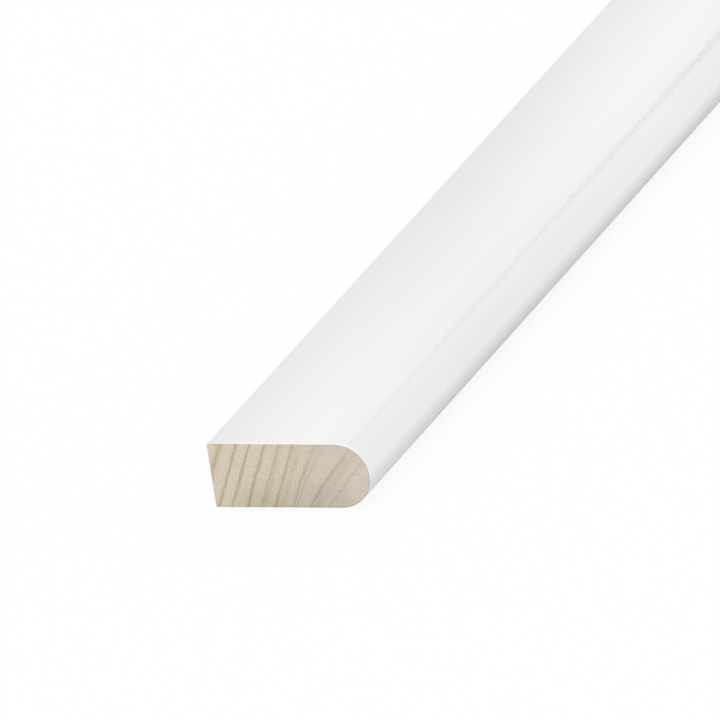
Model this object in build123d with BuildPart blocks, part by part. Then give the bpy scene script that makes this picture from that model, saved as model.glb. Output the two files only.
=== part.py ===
"""Bead moulding: a flat stick of pine with a square back edge and a full half-round nose.

The stick lies on its wide underside. Its length runs along Y, its width along X with the nose
towards +X, and its thickness along Z. The origin is on the underside, in the middle of the width
and of the length. All sizes are in millimetres.
"""

import os

from build123d import *

# Driving dimensions
thickness = 9.525  # between the two wide faces, 3/8 in
width = 23.8125  # from the square back edge to the crown of the nose, 15/16 in
length = 2438.4  # between the sawn ends, 8 ft
arris_radius = 0.12  # the light sanding that takes the sharpness off the two square corners

# Places on the section that follow from them
back_edge_x = -width / 2
nose_radius = thickness / 2  # a full half-round, tangent to both wide faces
nose_centre_x = width / 2 - nose_radius

with BuildPart() as bead_moulding:
    with BuildSketch(Plane.XZ) as section:
        with BuildLine():
            underside = Line((back_edge_x, 0), (nose_centre_x, 0))
            nose = TangentArc(underside @ 1, (nose_centre_x, thickness), tangent=underside % 1)
            top_face = Line(nose @ 1, (back_edge_x, thickness))
            Line(top_face @ 1, underside @ 0)
        make_face()
        back_corners = section.vertices().group_by(Axis.X)[0]
        fillet(back_corners, radius=arris_radius)
    extrude(amount=length / 2, both=True)

bead_moulding.part.label = "bead_moulding"

os.makedirs("parts", exist_ok=True)
export_step(bead_moulding.part, "parts/bead_moulding.step")
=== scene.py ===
"""Dresses a packed bead moulding: a stick of primed pine with a half-round nose and bare sawn ends.

The stick lies along Y on its wide underside, with its square back edge towards -X and its nose
towards +X. The mesh and the scene are in metres. The marks on the wood are laid out in
millimetres, because growth rings and saw marks are that small.
"""

import math

import bmesh
import bpy
from mathutils import Matrix, Vector, noise


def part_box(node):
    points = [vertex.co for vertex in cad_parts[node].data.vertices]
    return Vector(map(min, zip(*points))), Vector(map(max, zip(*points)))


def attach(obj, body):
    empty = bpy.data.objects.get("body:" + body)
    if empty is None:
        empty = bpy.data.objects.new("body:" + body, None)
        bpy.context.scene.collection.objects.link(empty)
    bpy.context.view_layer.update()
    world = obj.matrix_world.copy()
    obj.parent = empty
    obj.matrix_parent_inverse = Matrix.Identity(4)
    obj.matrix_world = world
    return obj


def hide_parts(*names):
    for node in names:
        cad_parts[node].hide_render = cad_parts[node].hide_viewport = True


bl_info = {
    "name": "Primed Bead Moulding",
    "version": (1, 0, 0),
    "blender": (4, 5, 0),
    "location": "3D View > Sidebar > Moulding",
    "description": "Mills and primes a stick of bead moulding and lays it on a lit, pale floor",
    "category": "Object",
}

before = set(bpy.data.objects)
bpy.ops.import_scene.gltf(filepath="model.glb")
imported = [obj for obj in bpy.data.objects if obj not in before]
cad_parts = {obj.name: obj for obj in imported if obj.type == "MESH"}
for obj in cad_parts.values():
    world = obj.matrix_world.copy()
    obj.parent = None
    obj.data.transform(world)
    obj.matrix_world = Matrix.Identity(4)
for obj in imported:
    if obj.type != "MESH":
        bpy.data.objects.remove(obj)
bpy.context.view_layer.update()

NODE = "bead_moulding"
PIECE = "primed_bead_moulding"
LOW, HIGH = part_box(NODE)
MM = 0.001

# Material slots of the piece
PRIMED, SAWN = 0, 1

# The growth rings, in millimetres. A ring's place is where its dark latewood peaks, counted across
# the rings at mid-thickness from the middle of the width. The wood darkens over the rise before
# that place and clears over the fall behind it. Where two share a place, or nearly, a fine dark
# line lies in a broad faint one.
RINGS = (
    # place, rise, fall, darkness
    (-11.95, 0.75, 0.85, 0.85),
    (-9.45, 0.42, 0.33, 1.05),
    (-7.45, 0.40, 0.35, 1.05),
    (-5.20, 0.42, 0.45, 1.15),
    (-3.05, 0.35, 0.35, 0.74),
    (-2.60, 0.50, 0.52, 0.40),
    (-1.00, 0.33, 0.42, 1.05),
    (0.15, 1.10, 0.65, 0.36),
    (1.85, 0.42, 0.55, 0.85),
    (2.67, 0.35, 0.38, 0.55),
    (5.95, 0.45, 0.35, 0.75),
    (5.95, 1.30, 1.00, 0.35),
    (6.45, 0.45, 0.60, 0.28),
    (7.20, 0.60, 1.20, 0.40),
    (9.10, 0.45, 0.70, 0.42),
)
RING_LEAN = 0.42  # how far a ring moves towards the nose for each step up
RING_FAN = 0.45  # how much more the rings by the nose lean
FAN_PLACES = (0.5, 6.0)  # where among the rings that begins, and where it is full
RING_DRIFT = 2.7  # how far the rings wander across the stick on the way to its far end
DRIFT_RUN = 1400.0  # length of stick to a radian of that
RING_WAVE = 0.07  # how far they waver on the way
RING_WAVE_RUN = 31.0  # length of stick to a radian of that
RING_BENDS = ((0.45, 1.8), (0.3, 0.5))  # bends in a ring on the ends: how strong, and how long

# Lengths below are in millimetres too. Across is from the stick's middle towards the nose, up is
# from mid-thickness, height is from the underside, and in is from the nearer sawn end. A pair holds
# the two places between which one tone passes into the next. A run holds how long the blotches of
# a noise are across, along and up.

# The primer's tones: painted shade by the back edge, over the nose and under it, a painted sheen on the
# nose's side, and painted light under the nose by the ends
BACK_TO_TOP_ACROSS = (-17.0, 4.0)
TOP_TO_NOSE_ACROSS = (3.5, 8.0)
TOP_TO_CROWN_UP = (3.3, 1.0)
CROWN_TO_UNDER_UP = (0.8, -2.4)
UNDER_BY_END_UP = (-0.8, -1.8)
UNDER_BY_END_IN = (60.0, -5.0)
RIM_IN = (1.2, 0.4)

# Bands of painted light and shade round the nose, each a little lighter or darker
PAINTED_NOSE_BANDS = (
    # up, half width, change of brightness
    (0.62, 0.75, 0.030),
    (-0.10, 0.42, -0.028),
    (-0.45, 0.50, 0.028),
    (-1.05, 0.30, -0.027),
    (-1.95, 0.35, 0.020),
)

# Broad waves of brightness along the stick, with a crest at each sawn end
BRIGHTNESS_WAVE = 150.0  # from crest to crest
WAVE_SLANT = 2.5  # how far a crest slants for each step across
WAVE_DEPTH = 0.016  # how much a wave changes the brightness
WAVE_ON_NOSE = 0.7  # share of that on the nose

# The primer's finish
CLOUD_RUN = (9.0, 55.0, 9.0)
CLOUD_DEPTH = 0.03
STIPPLE_RUN = (0.3, 0.5, 0.3)
STIPPLE_DEPTH = 0.012
RINGS_THROUGH_PRIMER = 0.006  # how much a dark ring dulls the primer over it
PRIMER_ROUGHNESS = 0.72
STIPPLE_ROUGHNESS = 0.1
PRIMER_SHINE = 0.12
PRIMER_RELIEF = 0.02
PRIMER_RELIEF_STRENGTH = 0.1

# The line along the nose where the cutter's two passes meet, as a core and a soft halo. It is finer
# and fainter by the sawn ends.
CUTTER_LINE = (
    # across, half width, strength
    (9.20, 0.48, 0.39),
    (9.16, 1.00, 0.64),
)
LINE_IN = (0.0, 180.0)
LINE_UP = (2.0, 3.0)  # keeps the line off the lower half of the nose
WIDTH_BY_END, WIDTH_AWAY = 0.65, 1.05
STRENGTH_BY_END, STRENGTH_AWAY = 0.34, 0.97
JITTER_RUN = (2.0, 0.8, 2.0)
JITTER_REACH = 0.8  # how far the line strays to either side
STROKE_RUN = (0.25, 0.9, 0.25)
STROKE_DEPTH = 3.0  # how unevenly the line is drawn, close to
BREAK_RUN = (5.0, 12.0, 5.0)
BREAK_DEPTH = 1.3  # and over longer stretches

# The colours of the bare wood on the ends
BACK_TO_NOSE_WOOD = (-6.0, 5.0)  # across
FIBRE_RUN = (0.085, 0.3, 0.4)
FIBRE_DARK = 0.9  # how far a fibre goes towards the colour of the dark lines
FIBRE_TONE = 0.9  # how much it changes the brightness
STRAND_RUN = (0.35, 0.5, 3.0)
STRAND_DARK = 0.35
FADE_RUN = (1.5, 1.5, 1.3)
FADE_DEPTH = 1.2  # how unevenly the dark lines are drawn
WORN_HEIGHT = (4.5, 8.5)  # the lines are fainter above, from the middle to the nose
WORN_ACROSS = (0.0, 3.0)
WORN_DEPTH = 0.45
RESIN_SPREAD = 2.4  # how much wider than a dark line its golden wood is
RESIN_SHARE = 0.8
BLOTCH_RUN = (2.2, 2.2, 2.2)
BLOTCH_TONE = 0.10
BLOTCH_RESIN = 1.5
BLOTCH_HEART = (0.0, 0.25)  # strength of the blotch
PINK_FROM, PINK_TO = (0.3, 1.2), (3.6, 2.6)  # among the rings
PINK_HEIGHT = (5.0, 7.0)
PINK_SHARE = 0.7
HEART_SHARE = 0.7

# The brightness of the bare wood
RIM_INSIDE = (0.22, 0.0)  # from the outline
RIM_TONE = 0.84
LOW_HEIGHT = (5.5, 1.0)  # the dull patch low in the middle
LOW_BACK_ACROSS, LOW_NOSE_ACROSS = (-9.5, -7.0), (10.0, 7.0)
LOW_TONE = 0.89
NOSE_WOOD_TONE = 0.965

# The finish of the bare wood
WOOD_ROUGHNESS = 0.85
FIBRE_ROUGHNESS = 0.1
WOOD_SHINE = 0.2
FIBRE_RELIEF, SAW_RELIEF = 0.6, 0.4
WOOD_RELIEF = 0.02
WOOD_RELIEF_STRENGTH = 0.4

# The saw that cut the ends: where its blade's centre was, and how far its scores lie apart
SAW_ACROSS, SAW_HEIGHT, SAW_PITCH = -35.0, 140.0, 0.85

# How the mesh is cut
ARRIS_STEPS = 5
BROKEN_EDGE_STEPS = 2
ROWS_BY_END = (0.4, 1.2, 3, 7, 15)  # extra rows, in from each end
ROW_SNAP = 0.001
CELL_SNAP = 1 / 8  # share of a cell
SAWN_FACING = 0.3  # how squarely a face has to look along the stick to be bare wood
FLAT_FACING = 0.99  # and to be flat end wood, inside the broken edge
SHARP_ANGLE = math.radians(20)

# How the relief is shared out. The depths are in the settings.
SKIN_ALL, SKIN_SOFT, SKIN_UNEVEN = 0.2, 0.5, 0.3
SKIN_RUN = Vector((4, 60, 4))
GRAIN_SOFT, GRAIN_ROUGH = 0.7, 0.3
ROUGH_SCALE = 3.1  # bumps to a millimetre
CHIP_SCALE, FINE_CHIP_SCALE = 1.7, 5.1
FINE_CHIP_SHARE = 0.4
CHIP_FROM, CHIP_FULL = 0.1, 0.65  # strength of the noise that chips
EDGE_REACH = 1.05  # how far in an end's relief goes, in widths of its broken edge

# The map for baking: the skin unrolled in strips, one above the other, and the two ends above them
BAKE_MAP = "OFBake"
BAKE_STRIPS = 4
STRIP_HIGH = 0.2
STRIP_FILL = 0.96
END_WIDE, END_HIGH, END_UP = 0.46, 0.184, 0.808
END_LEFT = (0.02, 0.52)


# Sizes and colours that a user may change


def length_value(name, description, default):
    return bpy.props.FloatProperty(
        name=name, description=description, default=default, min=0.0, unit="LENGTH", precision=5
    )


def share_value(name, description, default):
    return bpy.props.FloatProperty(
        name=name, description=description, default=default, min=0.0, subtype="FACTOR"
    )


def angle_value(name, description, degrees):
    return bpy.props.FloatProperty(
        name=name, description=description, default=math.radians(degrees), unit="ROTATION"
    )


def colour_value(name, description, default):
    return bpy.props.FloatVectorProperty(
        name=name, description=description, default=default, size=3, min=0.0, max=1.0, subtype="COLOR"
    )


def count_value(name, description, default):
    return bpy.props.IntProperty(name=name, description=description, default=default, min=1)


class StickSizes(bpy.types.PropertyGroup):
    """The stick's sizes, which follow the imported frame, and the sizes of its finest marks"""

    thickness: length_value("Thickness", "Between the two wide faces", HIGH.z - LOW.z)
    width: length_value("Width", "From the square back edge to the nose", HIGH.x - LOW.x)
    length: length_value("Length", "Between the sawn ends", HIGH.y - LOW.y)
    arris: length_value("Back arris", "Radius of the two sanded back corners", 0.12 * MM)
    broken_edge: length_value("Broken edge", "Width of the broken edge round each sawn end", 0.08 * MM)
    nose_steps: count_value("Nose steps", "Flats round the half-round nose, an even number", 96)
    cell: length_value("Cell", "Width of the mesh's cells on the ends and the flats", 0.16 * MM)
    row: length_value("Row", "Longest run of the mesh along the stick", 30 * MM)
    grain_depth: length_value("Grain depth", "How far soft wood lies below hard on the ends", 0.03 * MM)
    skin_depth: length_value("Skin depth", "How far the same wood lies low under the primer", 0.01 * MM)
    saw_depth: length_value("Saw depth", "Depth of the saw's scores on the ends", 0.02 * MM)
    chip_depth: length_value("Chip depth", "Deepest chip in the broken edge", 0.06 * MM)


class StickColours(bpy.types.PropertyGroup):
    """The colours of the primer and of the bare wood"""

    primer: colour_value("Primer", "White primer", (0.905, 0.905, 0.905))
    cutter_line: colour_value("Cutter line", "Grey of the line along the nose", (0.80, 0.793, 0.772))
    # The back, nose and under tones are painted shade, the crown tone is a painted sheen, and the end
    # tone is painted light under the nose by each end.
    painted_back_shade: share_value("Back tone", "Brightness of the thinner primer along the back edge", 0.89)
    painted_nose_shade: share_value("Nose tone", "Brightness of the primer where the nose begins", 0.983)
    painted_nose_sheen: share_value("Crown tone", "Brightness of the thick primer on the nose's crown", 1.05)
    painted_under_shade: share_value("Under tone", "Brightness of the thin primer under the nose", 0.89)
    painted_end_light: share_value("End tone", "Brightness of the primer under the nose by an end", 1.08)
    rim_tone: share_value("Rim tone", "Brightness of the primer right beside a sawn end", 1.03)
    earlywood: colour_value("Earlywood", "Pale bands of the bare ends", (0.755, 0.680, 0.555))
    resin: colour_value("Resin", "Golden wood beside the dark lines", (0.77, 0.65, 0.475))
    heartwood: colour_value("Heartwood", "Pinkish patches of the bare ends", (0.765, 0.665, 0.59))
    latewood: colour_value("Latewood", "Dark lines by the back edge", (0.58, 0.48, 0.345))
    old_latewood: colour_value("Old latewood", "Dark lines by the nose", (0.57, 0.49, 0.395))


class StageLight(bpy.types.PropertyGroup):
    """The floor and the soft light over it"""

    floor: length_value("Floor", "Half the width of the floor", 30.0)
    floor_gap: length_value("Floor gap", "How far the floor lies below the stick", 0.02 * MM)
    floor_bounce: share_value("Floor bounce", "How much light the floor gives back to the stick", 0.8)
    floor_glow: share_value("Floor glow", "Share of the floor's white that no shadow darkens", 0.88)
    sky: share_value("Sky", "Light from all round", 0.86)
    key: share_value("Key", "Power of the overhead softbox", 0.44)
    key_spread: angle_value("Key spread", "How wide the softbox looks from the stick", 80)
    key_forward: angle_value("Key forward", "How far the softbox leans to the near end", 20)
    key_aside: angle_value("Key aside", "How far the softbox leans to the nose", 10)


class CameraPlace(bpy.types.PropertyGroup):
    """Where the camera stands, and where the near end falls in its picture"""

    azimuth: angle_value("Azimuth", "Turn about the upright, from looking along the stick", 23.89)
    elevation: angle_value("Elevation", "How far the camera looks down", 21.08)
    roll: angle_value("Roll", "Turn of the camera about its own line of sight", -8.75)
    distance: length_value("Distance", "From the camera to the near sawn end", 4.74)
    picture: count_value("Picture", "Side of the square picture, in pixels", 720)
    scale: share_value("Scale", "Pixels to a millimetre at the near sawn end", 7.1857)
    end_across: share_value("End across", "Pixel column of the middle of the near end's foot", 295.1)
    end_down: share_value("End down", "Pixel row of the middle of the near end's foot", 507.75)


class MouldingSettings(bpy.types.PropertyGroup):
    """Everything that the panel lists"""

    sizes: bpy.props.PointerProperty(name="Sizes", description="Sizes of the stick", type=StickSizes)
    colours: bpy.props.PointerProperty(
        name="Colours", description="Colours of the stick", type=StickColours
    )
    light: bpy.props.PointerProperty(name="Light", description="Floor and light", type=StageLight)
    camera: bpy.props.PointerProperty(name="Camera", description="Camera", type=CameraPlace)


class Section:
    """The lines and centres that the stick's outline is drawn from, in metres or in another unit."""

    def __init__(self, sizes, unit=1.0):
        self.thickness = sizes.thickness / unit
        self.width = sizes.width / unit
        self.length = sizes.length / unit
        self.arris = sizes.arris / unit
        self.under = LOW.z / unit
        self.top = self.under + self.thickness
        self.back = LOW.x / unit
        self.near = LOW.y / unit
        self.radius = self.thickness / 2
        self.middle_z = self.under + self.radius
        self.nose_x = self.back + self.width - self.radius
        self.flat = self.nose_x - self.back
        self.girth = self.thickness + 2 * self.flat + math.pi * self.radius


# Shader expressions


class Shade:
    """A socket that can be used in ordinary arithmetic, which adds the Math nodes for it."""

    def __init__(self, nodes, socket):
        self.nodes = nodes
        self.socket = socket

    def maths(self, operation, *values):
        return self.nodes.add("ShaderNodeMath", {"operation": operation}, dict(enumerate(values)))

    def __add__(self, other):
        return self.maths("ADD", self, other)

    def __sub__(self, other):
        return self.maths("SUBTRACT", self, other)

    def __mul__(self, other):
        return self.maths("MULTIPLY", self, other)

    def __truediv__(self, other):
        return self.maths("DIVIDE", self, other)

    def __radd__(self, other):
        return self.maths("ADD", other, self)

    def __rsub__(self, other):
        return self.maths("SUBTRACT", other, self)

    def __rmul__(self, other):
        return self.maths("MULTIPLY", other, self)

    def __abs__(self):
        return self.maths("ABSOLUTE", self)


class Nodes:
    """A node tree that is filled one node at a time."""

    def __init__(self, tree):
        self.tree = tree
        tree.nodes.clear()

    def add(self, kind, settings=None, inputs=None, output=0):
        """Adds a node with its settings and its sockets' values or links, and returns one output."""
        node = self.tree.nodes.new(kind)
        for name, value in (settings or {}).items():
            setattr(node, name, value)
        for name, value in (inputs or {}).items():
            if isinstance(value, Shade):
                self.tree.links.new(value.socket, node.inputs[name])
            else:
                node.inputs[name].default_value = value
        return Shade(self, node.outputs[output]) if node.outputs else None

    def point(self):
        """A point's place on the piece in millimetres, whole and as its three parts."""
        place = self.add("ShaderNodeTexCoord", output="Object")
        scaled = self.add("ShaderNodeVectorMath", {"operation": "SCALE"}, {0: place, "Scale": 1 / MM})
        parts = [self.add("ShaderNodeSeparateXYZ", {}, {0: scaled}, i) for i in range(3)]
        return scaled, *parts

    def vector(self, x, y, z):
        """A place made from three numbers."""
        return self.add("ShaderNodeCombineXYZ", {}, {0: x, 1: y, 2: z})

    def noise(self, place, run, detail=2.0):
        """Soft noise about 0, mostly within half a unit, whose blotches are as long as run says."""
        scale = [1 / side for side in run]
        scaled = self.add("ShaderNodeMapping", {}, {"Vector": place, "Scale": scale})
        return (
            self.add(
                "ShaderNodeTexNoise",
                {"noise_dimensions": "3D"},
                {"Vector": scaled, "Scale": 1.0, "Detail": detail, "Roughness": 0.5},
            )
            - 0.5
        )

    def mix(self, share, start, end):
        """A colour between two colours."""
        ends = {6: start, 7: end}
        sockets = {i: end if isinstance(end, Shade) else (*end, 1.0) for i, end in ends.items()}
        return self.add("ShaderNodeMix", {"data_type": "RGBA"}, {0: share, **sockets}, 2)

    def toned(self, colour, tone):
        """A colour made brighter or darker by a number."""
        return self.add("ShaderNodeVectorMath", {"operation": "SCALE"}, {0: colour, "Scale": tone})

    def bump(self, height, distance, strength):
        """A bent normal for fine relief."""
        return self.add(
            "ShaderNodeBump", {}, {"Strength": strength, "Distance": distance, "Height": height}
        )

    def finish(self, **inputs):
        """Closes the tree with one surface shader."""
        sockets = {name.replace("_", " "): value for name, value in inputs.items()}
        surface = self.add("ShaderNodeBsdfPrincipled", {}, sockets)
        self.add("ShaderNodeOutputMaterial", {}, {"Surface": surface})


def new_material(name):
    """An empty material and its nodes."""
    material = bpy.data.materials.new(name)
    material.use_nodes = True
    return material, Nodes(material.node_tree)


# How the wood grew and was sawn, for plain numbers and for shader sockets alike


def law(operation, plain):
    """A function that works on numbers and, by the Math node of that name, on sockets."""

    def worked_out(*values):
        socket = next((value for value in values if isinstance(value, Shade)), None)
        return socket.maths(operation, *values) if socket else plain(*values)

    return worked_out


sine = law("SINE", math.sin)
root = law("SQRT", math.sqrt)
least = law("MINIMUM", min)
most = law("MAXIMUM", max)


def ease(value, start, end):
    """A smooth step from 0 at the start to 1 at the end, whichever of the two is higher."""
    if isinstance(value, Shade):
        settings = {"interpolation_type": "SMOOTHSTEP"}
        return value.nodes.add("ShaderNodeMapRange", settings, {"Value": value, 1: start, 2: end})
    share = min(max((value - start) / (end - start), 0.0), 1.0)
    return share * share * (3 - 2 * share)


def between(value, start, end):
    """A smooth passage from the value start to the value end as a share goes from 0 to 1."""
    return start + (end - start) * value


def ring_place(across, along, height):
    """Where a point lies among the growth rings, in millimetres.

    across is measured from the middle of the width, along from the near sawn end and height from
    mid-thickness.
    """
    leaning = across - RING_LEAN * height
    fanned = leaning - RING_FAN * ease(leaning, *FAN_PLACES) * height
    drift = sine(along / DRIFT_RUN)
    return fanned + RING_DRIFT * drift * drift + RING_WAVE * sine(along / RING_WAVE_RUN)


def latewood(place, spread=1.0):
    """Darkness of the wood at a place among the rings, 0 in clear earlywood and about 1 in a line.

    A spread over 1 gives the wider stretch of wood that a line colours.
    """
    total = 0.0
    for middle, rise, fall, darkness in RINGS:
        before = ease(place, middle - spread * rise, middle)
        total = total + darkness * before * ease(place, middle + spread * fall, middle)
    return total


def rim_distance(x, z, section):
    """How far inside the section's outline a point lies."""
    past = most(x - section.nose_x, 0.0)
    up = z - section.middle_z
    return least(section.radius - root(past * past + up * up), x - section.back)


def saw_score(x, z):
    """Height of the saw's scores on an end, from 0 to 1."""
    aside, up = x - SAW_ACROSS, z - SAW_HEIGHT
    reach = root(aside * aside + up * up)
    return 0.5 + 0.5 * sine(reach * (2 * math.pi / SAW_PITCH))


# Materials


def cutter_line(nodes, point, x, up, from_end):
    """Strength of the faint line along the nose."""
    away = ease(from_end, *LINE_IN)
    jitter = nodes.noise(point, JITTER_RUN, detail=3.0)
    strokes = nodes.noise(point, STROKE_RUN, detail=3.0)
    breaks = nodes.noise(point, BREAK_RUN, detail=4.0)
    spread = between(away, WIDTH_BY_END, WIDTH_AWAY)
    line = 0.0
    for middle, half_width, strength in CUTTER_LINE:
        aside = abs(x + JITTER_REACH * jitter - middle) / spread
        line = line + strength * ease(aside, half_width, 0.0)
    line = line * ease(up, *LINE_UP) * between(away, STRENGTH_BY_END, STRENGTH_AWAY)
    return line * (1 + STROKE_DEPTH * strokes) * (1 + BREAK_DEPTH * breaks)


def primer_tone(colours, x, up, from_end):
    """Brightness of the primer: painted shade by the back edge, over the nose and under it, a painted
    sheen and painted bands on the nose, and painted light under it by the ends.
    """
    on_nose = ease(x, *TOP_TO_NOSE_ACROSS)
    # Painted shade: the primer darkens towards the back edge.
    painted_back_shade = between(ease(x, *BACK_TO_TOP_ACROSS), colours.painted_back_shade, 1.0)
    # Painted shade over the nose.
    painted_nose_shade = between(on_nose, 1.0, colours.painted_nose_shade)
    # Painted sheen on the side of the nose.
    painted_nose_sheen = between(on_nose * ease(up, *TOP_TO_CROWN_UP), 1.0, colours.painted_nose_sheen)
    # Painted shade under the nose.
    under_change = colours.painted_under_shade / colours.painted_nose_sheen
    painted_under_shade = between(on_nose * ease(up, *CROWN_TO_UNDER_UP), 1.0, under_change)
    # Painted light under the nose by each sawn end.
    by_end = on_nose * ease(up, *UNDER_BY_END_UP) * ease(from_end, *UNDER_BY_END_IN)
    painted_end_light = between(by_end, 1.0, colours.painted_end_light)
    rim_tone = between(ease(from_end, *RIM_IN), 1.0, colours.rim_tone)
    # Painted light and shade in bands round the nose.
    bands = 1.0
    for middle, half_width, change in PAINTED_NOSE_BANDS:
        bands = bands + change * ease(abs(up - middle), half_width, 0.0)
    wave = sine((from_end + WAVE_SLANT * x) * (2 * math.pi / BRIGHTNESS_WAVE) + math.pi / 2)
    depth = WAVE_DEPTH * between(on_nose, 1.0, WAVE_ON_NOSE)
    tone = painted_back_shade * painted_nose_shade * painted_nose_sheen * painted_under_shade * painted_end_light * rim_tone
    return tone * between(on_nose, 1.0, bands) * (1 + depth * wave)


def primer_material(settings):
    """White primer with clouds, a roller's stipple and the cutter's faint line along the nose."""
    colours = settings.colours
    section = Section(settings.sizes, MM)
    material, nodes = new_material("white_primer")
    point, x, y, z = nodes.point()
    up = z - section.middle_z
    place = ring_place(x, y - section.near, up)
    from_end = section.length / 2 - abs(y)

    line = cutter_line(nodes, point, x, up, from_end)
    clouds = nodes.noise(point, CLOUD_RUN)
    stipple = nodes.noise(point, STIPPLE_RUN)
    # tone holds painted shade, a painted sheen and painted light on the primer
    tone = primer_tone(colours, x, up, from_end)
    cover = 1 + CLOUD_DEPTH * clouds + STIPPLE_DEPTH * stipple - RINGS_THROUGH_PRIMER * latewood(place)
    primer = nodes.mix(line, colours.primer, colours.cutter_line)

    nodes.finish(
        Base_Color=nodes.toned(primer, tone * cover),
        Roughness=PRIMER_ROUGHNESS + STIPPLE_ROUGHNESS * stipple,
        Specular_IOR_Level=PRIMER_SHINE,
        Normal=nodes.bump(stipple, PRIMER_RELIEF * MM, PRIMER_RELIEF_STRENGTH),
    )
    return material


def wood_colour(nodes, colours, place, dark, blotches, to_nose, z):
    """Colour of the bare wood: clear, resinous, pink or dark."""
    resin = latewood(place, RESIN_SPREAD) * (1 - to_nose) * (RESIN_SHARE + BLOTCH_RESIN * blotches)
    pink = ease(place, *PINK_FROM) * ease(place, *PINK_TO) * ease(z, *PINK_HEIGHT)
    heart = PINK_SHARE * pink + HEART_SHARE * to_nose * ease(blotches, *BLOTCH_HEART)
    clear = nodes.mix(resin, colours.earlywood, colours.resin)
    clear = nodes.mix(heart, clear, colours.heartwood)
    return nodes.mix(dark, clear, nodes.mix(to_nose, colours.latewood, colours.old_latewood))


def wood_tone(x, z, to_nose, section):
    """Brightness of the bare wood, which is duller round the rim, low in the middle and by the nose."""
    rim = between(ease(rim_distance(x, z, section), *RIM_INSIDE), 1.0, RIM_TONE)
    low_middle = ease(z, *LOW_HEIGHT) * ease(x, *LOW_BACK_ACROSS) * ease(x, *LOW_NOSE_ACROSS)
    return rim * between(low_middle, 1.0, LOW_TONE) * between(to_nose, 1.0, NOSE_WOOD_TONE)


def sawn_material(settings):
    """Bare end grain with growth rings, fibres and the saw's scores."""
    colours = settings.colours
    section = Section(settings.sizes, MM)
    material, nodes = new_material("sawn_pine")
    point, x, y, z = nodes.point()
    up = z - section.middle_z
    bend = sum(reach * nodes.noise(point, (run, run, run)) for reach, run in RING_BENDS)
    place = ring_place(x, y - section.near, up) + bend
    along_grain = nodes.vector(x - RING_LEAN * up, y, z)

    fibres = nodes.noise(along_grain, FIBRE_RUN, detail=3.0)
    strands = nodes.noise(along_grain, STRAND_RUN, detail=3.0)
    fades = nodes.noise(along_grain, FADE_RUN, detail=3.0)
    blotches = nodes.noise(point, BLOTCH_RUN, detail=3.0)

    to_nose = ease(x, *BACK_TO_NOSE_WOOD)
    worn = 1 - WORN_DEPTH * ease(z, *WORN_HEIGHT) * ease(x, *WORN_ACROSS)
    dark = latewood(place) * (1 + FADE_DEPTH * fades) * worn
    dark = dark + FIBRE_DARK * fibres + STRAND_DARK * strands
    wood = wood_colour(nodes, colours, place, dark, blotches, to_nose, z)
    tone = wood_tone(x, z, to_nose, section) * (1 + FIBRE_TONE * fibres + BLOTCH_TONE * blotches)
    relief = FIBRE_RELIEF * fibres + SAW_RELIEF * saw_score(x, z)

    nodes.finish(
        Base_Color=nodes.toned(wood, tone),
        Roughness=WOOD_ROUGHNESS + FIBRE_ROUGHNESS * fibres,
        Specular_IOR_Level=WOOD_SHINE,
        Normal=nodes.bump(relief, WOOD_RELIEF * MM, WOOD_RELIEF_STRENGTH),
    )
    return material


def floor_material(light):
    """A floor that the camera sees as white, though it keeps a soft shadow."""
    material, nodes = new_material("pale_floor")
    seen = seen_by_camera(nodes)
    bounce = (light.floor_bounce,) * 3
    matt = nodes.add("ShaderNodeBsdfDiffuse", {}, {"Color": nodes.mix(seen, bounce, (1.0, 1.0, 1.0))})
    glow = nodes.add("ShaderNodeEmission", {}, {"Strength": 1.0})
    floor = nodes.add("ShaderNodeMixShader", {}, {0: seen * light.floor_glow, 1: matt, 2: glow})
    nodes.add("ShaderNodeOutputMaterial", {}, {"Surface": floor})
    return material


def seen_by_camera(nodes):
    """1 where the camera looks, also by reflection or through glass, and 0 for light on the stick."""
    rays = [
        nodes.add("ShaderNodeLightPath", output=f"Is {kind} Ray")
        for kind in ("Camera", "Glossy", "Transmission")
    ]
    return most(most(rays[0], rays[1]), rays[2])


# The stick


def draw_section(bm, section, nose_steps):
    """Draws the section as one face across the near end."""
    under_back = bm.verts.new((section.back, section.near, section.under))
    under_nose = bm.verts.new((section.nose_x, section.near, section.under))
    spun = bmesh.ops.spin(
        bm,
        geom=[under_nose],
        cent=(section.nose_x, section.near, section.middle_z),
        axis=(0, -1, 0),
        angle=math.pi,
        steps=nose_steps,
    )
    top_nose = spun["geom_last"][0]
    top_back = bm.verts.new((section.back, section.near, section.top))
    for start, end in ((under_back, under_nose), (top_nose, top_back), (top_back, under_back)):
        bm.edges.new((start, end))
    bmesh.ops.edgeloop_fill(bm, edges=bm.edges[:])
    bmesh.ops.bevel(
        bm,
        geom=[under_back, top_back],
        offset=section.arris,
        segments=ARRIS_STEPS,
        profile=0.5,
        affect="VERTICES",
        material=-1,
    )


def draw_out(bm, section, broken_edge):
    """Pulls the section out to the stick's length and breaks the edges round both ends."""
    pulled = bmesh.ops.extrude_face_region(bm, geom=bm.faces[:])
    moved = [item for item in pulled["geom"] if isinstance(item, bmesh.types.BMVert)]
    bmesh.ops.translate(bm, verts=moved, vec=(0, section.length, 0))
    bmesh.ops.recalc_face_normals(bm, faces=bm.faces)
    around_ends = [edge for edge in bm.edges if edge.calc_length() < section.length / 2]
    bmesh.ops.bevel(
        bm,
        geom=around_ends,
        offset=broken_edge,
        segments=BROKEN_EDGE_STEPS,
        profile=0.5,
        affect="EDGES",
        material=-1,
    )
    bm.normal_update()
    for face in bm.faces:
        face.smooth = True
        face.material_index = SAWN if abs(face.normal.y) > SAWN_FACING else PRIMED


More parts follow.
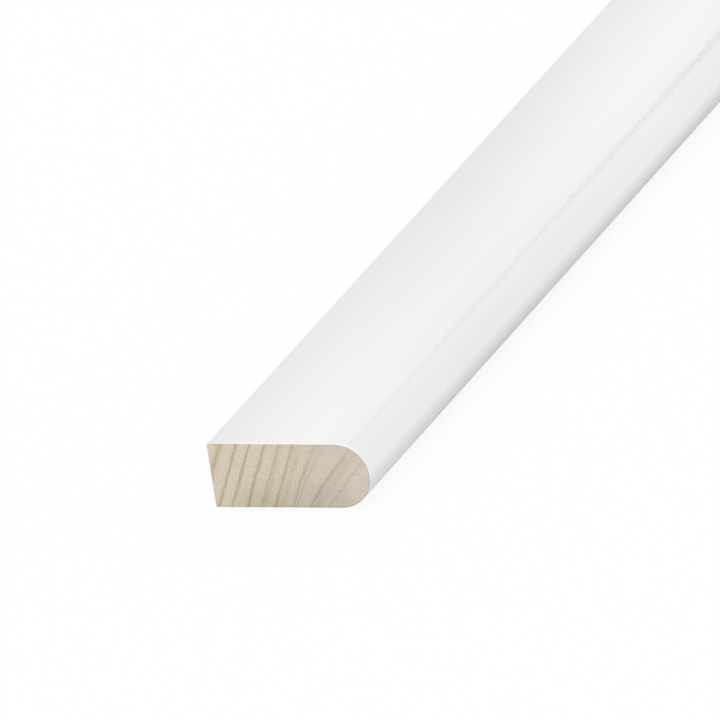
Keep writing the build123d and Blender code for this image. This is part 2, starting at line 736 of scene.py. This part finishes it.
def cut(bm, faces, place, across, snap):
    """Divides the faces that a plane through place crosses. A corner within snap lies on the plane."""
    edges = {edge for face in faces for edge in face.edges}
    verts = {vert for face in faces for vert in face.verts}
    whole = [*verts, *edges, *faces]
    bmesh.ops.bisect_plane(bm, geom=whole, dist=snap, plane_co=place, plane_no=across)


def cut_cells(bm, section, cell):
    """Divides the ends and the flats into small cells, and leaves the nose's own steps as they are."""
    columns = range(1, int(section.width / cell))
    rows = range(1, int(section.thickness / cell))
    cuts = [((section.back + i * cell, 0, 0), (1, 0, 0)) for i in columns]
    cuts += [((0, 0, section.under + i * cell), (0, 0, 1)) for i in rows]
    for place, across in cuts:
        faces = [
            face
            for face in bm.faces
            if abs(face.normal.y) > FLAT_FACING or face.calc_center_median().x < section.nose_x
        ]
        cut(bm, faces, place, across, snap=cell * CELL_SNAP)


def cut_rows(bm, section, row):
    """Divides the skin along the stick, close together by the ends, and where the bake strips meet."""
    near = [offset * MM for offset in ROWS_BY_END]
    runs = math.ceil(section.length / row / BAKE_STRIPS) * BAKE_STRIPS
    middle = [section.length * i / runs for i in range(1, runs)]
    far = [section.length - offset for offset in near]
    for offset in near + middle + far:
        skin = [face for face in bm.faces if face.material_index == PRIMED]
        cut(bm, skin, (0, section.near + offset, 0), (0, 1, 0), snap=ROW_SNAP * MM)


def noise_share(point):
    """Soft noise from 0 to 1."""
    return 0.5 + 0.5 * noise.noise(point)


def chip(point):
    """How far a chip eats into the broken edge, from 0 to 1."""
    fine = FINE_CHIP_SHARE * noise.noise(point * FINE_CHIP_SCALE)
    return ease(noise.noise(point * CHIP_SCALE) + fine, CHIP_FROM, CHIP_FULL)


def weather(bm, sizes):
    """Sinks the soft wood, scores the ends and chips their edges, always inwards."""
    section = Section(sizes, MM)
    reach = EDGE_REACH * sizes.broken_edge / MM
    bm.normal_update()
    for vert in bm.verts:
        point = vert.co / MM
        x, y, z = point
        soft = 1 - min(latewood(ring_place(x, y - section.near, z - section.middle_z)), 1)
        uneven = noise_share(Vector(place / run for place, run in zip(point, SKIN_RUN)))
        low = SKIN_ALL + SKIN_SOFT * soft + SKIN_UNEVEN * uneven
        vert.co -= vert.normal * sizes.skin_depth * low
        if section.length / 2 - abs(y) > reach:
            continue
        rough = noise_share(point * ROUGH_SCALE)
        depth = sizes.grain_depth * (GRAIN_SOFT * soft + GRAIN_ROUGH * rough)
        depth += sizes.saw_depth * saw_score(x, z) * rough
        if rim_distance(x, z, section) < reach:
            depth += sizes.chip_depth * chip(point)
        vert.co.y -= math.copysign(depth, y)


def round_place(x, z, section):
    """Distance round the section from its lower back corner, up the back edge and over the nose."""
    if x > section.nose_x:
        turn = math.atan2(x - section.nose_x, z - section.middle_z)
        return section.thickness + section.flat + turn * section.radius
    from_back, from_top, from_under = x - section.back, section.top - z, z - section.under
    if from_back < min(from_top, from_under):
        return from_under
    return section.thickness + from_back if from_top < from_under else section.girth - from_back


def lay_bake_map(bm, section):
    """Unrolls the skin into strips, one above the other, and lays the two ends over them."""
    chart = bm.loops.layers.uv.new(BAKE_MAP)
    strip_length = section.length / BAKE_STRIPS
    margin = (1 - STRIP_FILL) / 2
    for face in bm.faces:
        along = face.calc_center_median().y - section.near
        if face.material_index == SAWN:
            left = END_LEFT[along > section.length / 2]
            for loop in face.loops:
                across = (loop.vert.co.x - section.back) / section.width
                up = (loop.vert.co.z - section.under) / section.thickness
                loop[chart].uv = (left + across * END_WIDE, END_UP + up * END_HIGH)
            continue
        strip = int(along / strip_length)
        places = [round_place(loop.vert.co.x, loop.vert.co.z, section) for loop in face.loops]
        for loop, place in zip(face.loops, places):
            if max(places) - place > section.girth / 2:
                place += section.girth
            along_strip = (loop.vert.co.y - section.near) / strip_length - strip
            up_strip = margin + STRIP_FILL * place / section.girth
            loop[chart].uv = (margin + STRIP_FILL * along_strip, STRIP_HIGH * (strip + up_strip))


class MOULDING_OT_mill_stick(bpy.types.Operator):
    """Mill the stick, saw its ends and prime its long faces"""

    bl_idname = "moulding.mill_stick"
    bl_label = "Mill Stick"

    def execute(self, context):
        settings = context.scene.moulding
        sizes = settings.sizes
        section = Section(sizes)
        bm = bmesh.new()
        draw_section(bm, section, sizes.nose_steps)
        draw_out(bm, section, sizes.broken_edge)
        cut_cells(bm, section, sizes.cell)
        cut_rows(bm, section, sizes.row)
        weather(bm, sizes)
        lay_bake_map(bm, section)
        open_edges = sum(not edge.is_manifold for edge in bm.edges)
        mesh = bpy.data.meshes.new(PIECE)
        bm.to_mesh(mesh)
        bm.free()
        if open_edges:
            raise RuntimeError(f"the stick has {open_edges} open edges")
        mesh.set_sharp_from_angle(angle=SHARP_ANGLE)
        mesh.materials.append(primer_material(settings))
        mesh.materials.append(sawn_material(settings))
        stick = bpy.data.objects.new(PIECE, mesh)
        context.scene.collection.objects.link(stick)
        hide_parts(NODE)
        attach(stick, "root")
        return {"FINISHED"}


# The stage


def lay_floor(light):
    """A wide plain floor just under the stick."""
    bm = bmesh.new()
    bmesh.ops.create_grid(bm, x_segments=1, y_segments=1, size=light.floor)
    bmesh.ops.translate(bm, verts=bm.verts, vec=(0, 0, LOW.z - light.floor_gap))
    mesh = bpy.data.meshes.new("floor")
    bm.to_mesh(mesh)
    bm.free()
    mesh.materials.append(floor_material(light))
    floor = bpy.data.objects.new("floor", mesh)
    bpy.context.scene.collection.objects.link(floor)


def hang_sky(light):
    """An even white sky. The camera sees it at full white, and the stick is lit by less."""
    world = bpy.data.worlds.new("white_room")
    world.use_nodes = True
    nodes = Nodes(world.node_tree)
    strength = light.sky + (1 - light.sky) * seen_by_camera(nodes)
    sky = nodes.add("ShaderNodeBackground", {}, {"Color": (1.0, 1.0, 1.0, 1.0), "Strength": strength})
    nodes.add("ShaderNodeOutputWorld", {}, {"Surface": sky})
    bpy.context.scene.world = world


def hang_key(light):
    """A broad softbox overhead."""
    lamp = bpy.data.lights.new("softbox", "SUN")
    lamp.energy = light.key
    lamp.angle = light.key_spread
    softbox = bpy.data.objects.new("softbox", lamp)
    softbox.rotation_euler = (light.key_forward, light.key_aside, 0)
    bpy.context.scene.collection.objects.link(softbox)


def place_camera(place):
    """A long lens whose picture has the near end's foot at the pixel that the settings give."""
    turn = (
        Matrix.Rotation(place.azimuth, 3, "Z")
        @ Matrix.Rotation(math.pi / 2 - place.elevation, 3, "X")
        @ Matrix.Rotation(place.roll, 3, "Z")
    )
    middle = place.picture / 2
    scale = place.scale / MM
    offset = Vector(
        ((middle - place.end_across) / scale, (place.end_down - middle) / scale, place.distance)
    )
    lens = bpy.data.cameras.new("camera")
    lens.lens = lens.sensor_width * scale * place.distance / place.picture
    lens.clip_end = 10 * place.distance
    camera = bpy.data.objects.new("camera", lens)
    camera.matrix_world = Matrix.Translation(Vector((0, LOW.y, LOW.z)) + turn @ offset) @ turn.to_4x4()
    bpy.context.scene.collection.objects.link(camera)
    bpy.context.scene.camera = camera


class MOULDING_OT_set_stage(bpy.types.Operator):
    """Lay the floor and set the light and the camera"""

    bl_idname = "moulding.set_stage"
    bl_label = "Set Stage"

    def execute(self, context):
        settings = context.scene.moulding
        lay_floor(settings.light)
        hang_sky(settings.light)
        hang_key(settings.light)
        place_camera(settings.camera)
        context.scene.view_settings.view_transform = "Standard"
        return {"FINISHED"}


class MOULDING_PT_panel(bpy.types.Panel):
    """The stick's sizes and colours, its light and its camera"""

    bl_idname = "MOULDING_PT_panel"
    bl_label = "Bead Moulding"
    bl_space_type = "VIEW_3D"
    bl_region_type = "UI"
    bl_category = "Moulding"

    def draw(self, context):
        settings = context.scene.moulding
        for heading in MouldingSettings.__annotations__:
            group = getattr(settings, heading)
            box = self.layout.box()
            box.label(text=heading.capitalize())
            for value in type(group).__annotations__:
                box.prop(group, value)
        self.layout.operator(MOULDING_OT_mill_stick.bl_idname)
        self.layout.operator(MOULDING_OT_set_stage.bl_idname)


CLASSES = (
    StickSizes,
    StickColours,
    StageLight,
    CameraPlace,
    MouldingSettings,
    MOULDING_OT_mill_stick,
    MOULDING_OT_set_stage,
    MOULDING_PT_panel,
)


def register():
    for item in CLASSES:
        bpy.utils.register_class(item)
    bpy.types.Scene.moulding = bpy.props.PointerProperty(type=MouldingSettings)


def unregister():
    del bpy.types.Scene.moulding
    for item in reversed(CLASSES):
        bpy.utils.unregister_class(item)


def main():
    register()
    bpy.ops.moulding.mill_stick()
    bpy.ops.moulding.set_stage()


if __name__ == "__main__":
    main()
